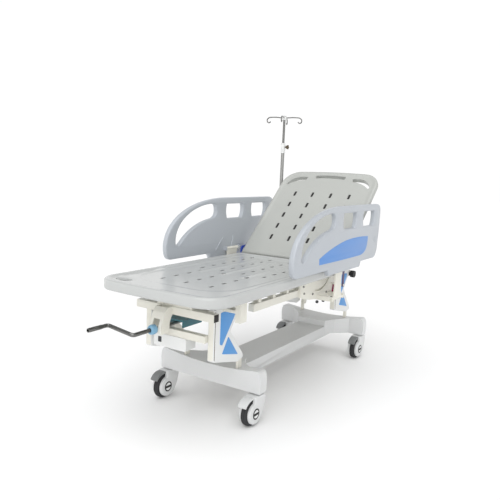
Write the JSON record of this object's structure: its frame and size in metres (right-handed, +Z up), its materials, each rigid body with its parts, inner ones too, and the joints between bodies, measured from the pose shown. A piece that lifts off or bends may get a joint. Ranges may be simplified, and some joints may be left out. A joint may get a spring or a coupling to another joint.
{
  "type": "patient stretcher trolley",
  "caption": "Height-adjustable patient stretcher trolley with a tilting backrest, folding side rails, crank lift on parallel arms, infusion pole and braked castors.",
  "frame": {"origin": "on the floor, on the trolley's centre plane, midway between the swivel axes of the foot castors and the head castors", "axes": "+X towards the head end along the trolley's length, +Y towards the patient's left with the infusion pole on that side, +Z up"},
  "size_m": [1.9648, 0.8737, 1.554],
  "materials": {
    "deck_plastic": "glossy moulded, warm white grey",
    "rail_plastic": "satin moulded, pale blue grey",
    "cover_plastic": "satin moulded, off white",
    "frame_paint": "satin powder coat, off white",
    "bright_steel": "brushed",
    "dark_steel": "polished, dark",
    "tyre_rubber": "matte dark grey",
    "lever_blue": "satin blue",
    "cover_teal": "satin teal",
    "boot_blue": "soft pale blue",
    "lever_red": "satin dark red",
    "black_rubber": "matte black"
  },
  "bodies": {
    "base": {"base_cover": "cover_plastic", "chassis_frame": "frame_paint"},
    "castor_foot_near": {"castor_housing_foot_near": "cover_plastic"},
    "wheel_foot_near": {"castor_hub_foot_near": "cover_plastic", "castor_tyre_foot_near": "tyre_rubber"},
    "pedal_foot_near": {"castor_pedal_foot_near": "dark_steel"},
    "castor_foot_far": {"castor_housing_foot_far": "cover_plastic"},
    "wheel_foot_far": {"castor_hub_foot_far": "cover_plastic", "castor_tyre_foot_far": "tyre_rubber"},
    "pedal_foot_far": {"castor_pedal_foot_far": "dark_steel"},
    "castor_head_near": {"castor_housing_head_near": "cover_plastic"},
    "wheel_head_near": {"castor_hub_head_near": "cover_plastic", "castor_tyre_head_near": "tyre_rubber"},
    "pedal_head_near": {"castor_pedal_head_near": "dark_steel"},
    "castor_head_far": {"castor_housing_head_far": "cover_plastic"},
    "wheel_head_far": {"castor_hub_head_far": "cover_plastic", "castor_tyre_head_far": "tyre_rubber"},
    "pedal_head_far": {"castor_pedal_head_far": "dark_steel"},
    "head_lift_arms": {"head_lift_arms": "frame_paint"},
    "foot_lift_arms": {"foot_lift_arms": "frame_paint"},
    "upper_frame": {"side_tube_near": "frame_paint", "side_tube_far": "frame_paint", "foot_upper_beam": "frame_paint", "head_upper_beam": "frame_paint", "foot_lower_beam": "frame_paint", "head_lower_beam": "frame_paint", "hinge_beam": "frame_paint", "foot_column_near": "cover_plastic", "foot_column_far": "cover_plastic", "head_column_near": "cover_plastic", "head_column_far": "cover_plastic", "gearbox_housing": "cover_plastic", "crank_bracket": "cover_plastic", "crank_boot": "boot_blue", "screw_cover": "cover_teal", "gas_spring_cylinder": "dark_steel", "deck_frame": "frame_paint", "leg_panel": "deck_plastic", "rail_mount_near": "cover_plastic", "rail_mount_far": "cover_plastic", "iv_socket": "cover_plastic", "iv_tube": "bright_steel", "head_bumper_near": "black_rubber", "head_bumper_far": "black_rubber", "spare_socket": "cover_plastic"},
    "crank": {"lead_screw": "bright_steel", "crank_handle": "dark_steel"},
    "backrest": {"backrest_panel": "deck_plastic", "backrest_frame": "frame_paint"},
    "gas_spring_rod": {"gas_spring_rod": "bright_steel"},
    "rail_link_near": {"rail_link_near": "frame_paint"},
    "side_rail_near": {"side_rail_near": "rail_plastic"},
    "rail_lever_near": {"rail_lever_near": "lever_red"},
    "backrest_lever_near": {"backrest_lever_near": "lever_blue"},
    "rail_link_far": {"rail_link_far": "frame_paint"},
    "side_rail_far": {"side_rail_far": "rail_plastic"},
    "rail_lever_far": {"rail_lever_far": "lever_red"},
    "backrest_lever_far": {"backrest_lever_far": "lever_blue"},
    "iv_rod": {"iv_rod": "bright_steel"},
    "iv_knob": {"iv_knob": "black_rubber"}
  },
  "joints": [
    {"name": "castor_swivel_foot_near", "type": "hinge", "parent": "base", "child": "castor_foot_near", "pos_m": [-0.627, -0.267, 0.141], "axis": [0, 0, 1], "continuous": true},
    {"name": "wheel_spin_foot_near", "type": "hinge", "parent": "castor_foot_near", "child": "wheel_foot_near", "pos_m": [-0.672, -0.267, 0.0625], "axis": [0, 1, 0], "continuous": true},
    {"name": "brake_pedal_foot_near", "type": "hinge", "parent": "castor_foot_near", "child": "pedal_foot_near", "pos_m": [-0.679, -0.267, 0.136], "axis": [0, -1, 0], "range_deg": [0, 8]},
    {"name": "castor_swivel_foot_far", "type": "hinge", "parent": "base", "child": "castor_foot_far", "pos_m": [-0.627, 0.267, 0.141], "axis": [0, 0, 1], "continuous": true},
    {"name": "wheel_spin_foot_far", "type": "hinge", "parent": "castor_foot_far", "child": "wheel_foot_far", "pos_m": [-0.672, 0.267, 0.0625], "axis": [0, 1, 0], "continuous": true},
    {"name": "brake_pedal_foot_far", "type": "hinge", "parent": "castor_foot_far", "child": "pedal_foot_far", "pos_m": [-0.679, 0.267, 0.136], "axis": [0, -1, 0], "range_deg": [0, 8]},
    {"name": "castor_swivel_head_near", "type": "hinge", "parent": "base", "child": "castor_head_near", "pos_m": [0.627, -0.267, 0.141], "axis": [0, 0, 1], "continuous": true},
    {"name": "wheel_spin_head_near", "type": "hinge", "parent": "castor_head_near", "child": "wheel_head_near", "pos_m": [0.582, -0.267, 0.0625], "axis": [0, 1, 0], "continuous": true},
    {"name": "brake_pedal_head_near", "type": "hinge", "parent": "castor_head_near", "child": "pedal_head_near", "pos_m": [0.575, -0.267, 0.136], "axis": [0, -1, 0], "range_deg": [0, 8]},
    {"name": "castor_swivel_head_far", "type": "hinge", "parent": "base", "child": "castor_head_far", "pos_m": [0.627, 0.267, 0.141], "axis": [0, 0, 1], "continuous": true},
    {"name": "wheel_spin_head_far", "type": "hinge", "parent": "castor_head_far", "child": "wheel_head_far", "pos_m": [0.582, 0.267, 0.0625], "axis": [0, 1, 0], "continuous": true},
    {"name": "brake_pedal_head_far", "type": "hinge", "parent": "castor_head_far", "child": "pedal_head_far", "pos_m": [0.575, 0.267, 0.136], "axis": [0, -1, 0], "range_deg": [0, 8]},
    {"name": "lift", "type": "hinge", "parent": "base", "child": "head_lift_arms", "pos_m": [0.634, 0, 0.3], "axis": [0, 1, 0], "range_deg": [-19, 36]},
    {"name": "platform_level", "type": "hinge", "parent": "head_lift_arms", "child": "upper_frame", "pos_m": [0.422, 0, 0.54], "axis": [0, 1, 0], "range_deg": [-36, 19]},
    {"name": "foot_arms_swing", "type": "hinge", "parent": "base", "child": "foot_lift_arms", "pos_m": [-0.62, 0, 0.3], "axis": [0, 1, 0], "range_deg": [-19, 36]},
    {"name": "crank_turn", "type": "hinge", "parent": "upper_frame", "child": "crank", "pos_m": [-1.127, 0.04, 0.473], "axis": [1, 0, 0], "range_deg": [-684, 1296]},
    {"name": "backrest_tilt", "type": "hinge", "parent": "upper_frame", "child": "backrest", "pos_m": [0.11, 0, 0.655], "axis": [0, -1, 0], "range_deg": [-43, 27]},
    {"name": "gas_spring_stroke", "type": "slide", "parent": "upper_frame", "child": "gas_spring_rod", "axis": [1, 0, 0], "range_m": [-0.049, 0.031]},
    {"name": "rail_swing_near", "type": "hinge", "parent": "upper_frame", "child": "rail_link_near", "pos_m": [0.03, -0.356, 0.505], "axis": [1, 0, 0], "range_deg": [0, 175]},
    {"name": "rail_level_near", "type": "hinge", "parent": "rail_link_near", "child": "side_rail_near", "pos_m": [0.03, -0.356, 0.705], "axis": [1, 0, 0], "range_deg": [-175, 0]},
    {"name": "rail_release_near", "type": "hinge", "parent": "upper_frame", "child": "rail_lever_near", "pos_m": [0.164, -0.283, 0.55], "axis": [0, 1, 0], "range_deg": [0, 25], "stiffness_Nm_per_rad": 0.6, "springref_deg": -11.46},
    {"name": "backrest_release_near", "type": "hinge", "parent": "upper_frame", "child": "backrest_lever_near", "pos_m": [0.126, -0.347, 0.56], "axis": [0, 1, 0], "range_deg": [0, 15], "stiffness_Nm_per_rad": 4, "springref_deg": -11.46},
    {"name": "rail_swing_far", "type": "hinge", "parent": "upper_frame", "child": "rail_link_far", "pos_m": [0.03, 0.356, 0.505], "axis": [-1, 0, 0], "range_deg": [0, 175]},
    {"name": "rail_level_far", "type": "hinge", "parent": "rail_link_far", "child": "side_rail_far", "pos_m": [0.03, 0.356, 0.705], "axis": [-1, 0, 0], "range_deg": [-175, 0]},
    {"name": "rail_release_far", "type": "hinge", "parent": "upper_frame", "child": "rail_lever_far", "pos_m": [0.164, 0.283, 0.55], "axis": [0, 1, 0], "range_deg": [0, 25], "stiffness_Nm_per_rad": 0.6, "springref_deg": -11.46},
    {"name": "backrest_release_far", "type": "hinge", "parent": "upper_frame", "child": "backrest_lever_far", "pos_m": [0.126, 0.347, 0.56], "axis": [0, 1, 0], "range_deg": [0, 15], "stiffness_Nm_per_rad": 4, "springref_deg": -11.46},
    {"name": "iv_rod_height", "type": "slide", "parent": "upper_frame", "child": "iv_rod", "axis": [0, 0, 1], "range_m": [-0.15, 0.35]},
    {"name": "iv_clamp_turn", "type": "hinge", "parent": "upper_frame", "child": "iv_knob", "pos_m": [0.61, 0.334, 1.345], "axis": [0, 1, 0], "continuous": true}
  ],
  "couplings": [
    {"joint": "platform_level", "follows": "lift", "ratio": -1},
    {"joint": "foot_arms_swing", "follows": "lift", "ratio": 1},
    {"joint": "crank_turn", "follows": "lift", "ratio": 36},
    {"joint": "gas_spring_stroke", "follows": "backrest_tilt", "m_per_rad": 0.064},
    {"joint": "rail_level_near", "follows": "rail_swing_near", "ratio": -1},
    {"joint": "rail_level_far", "follows": "rail_swing_far", "ratio": -1}
  ]
}
